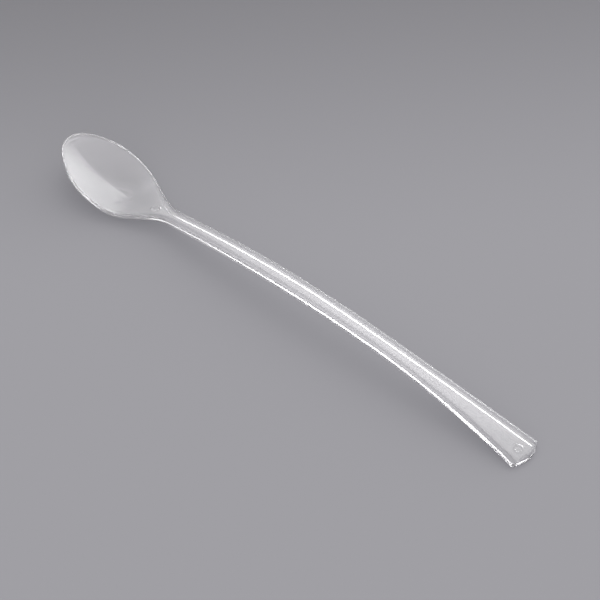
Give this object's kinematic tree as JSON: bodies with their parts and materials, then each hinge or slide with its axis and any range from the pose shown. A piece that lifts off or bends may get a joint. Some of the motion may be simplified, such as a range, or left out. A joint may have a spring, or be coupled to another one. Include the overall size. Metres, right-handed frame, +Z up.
{
  "type": "tasting spoon",
  "caption": "Clear one-piece plastic tasting spoon with a small egg-shaped bowl, a slim neck and a long arched handle that flares to a rounded end.",
  "frame": {"origin": "on the table, under the middle of the spoon's overall length, on its centre line", "axes": "+X from the tip of the bowl towards the end of the handle, +Z up out of the bowl, Y across"},
  "size_m": [0.1502, 0.0186, 0.0086],
  "materials": {
    "clear_plastic": "clear, glossy, as moulded"
  },
  "bodies": {
    "root": {"bowl": "clear_plastic", "neck": "clear_plastic", "handle": "clear_plastic", "handle_end": "clear_plastic"}
  },
  "joints": []
}
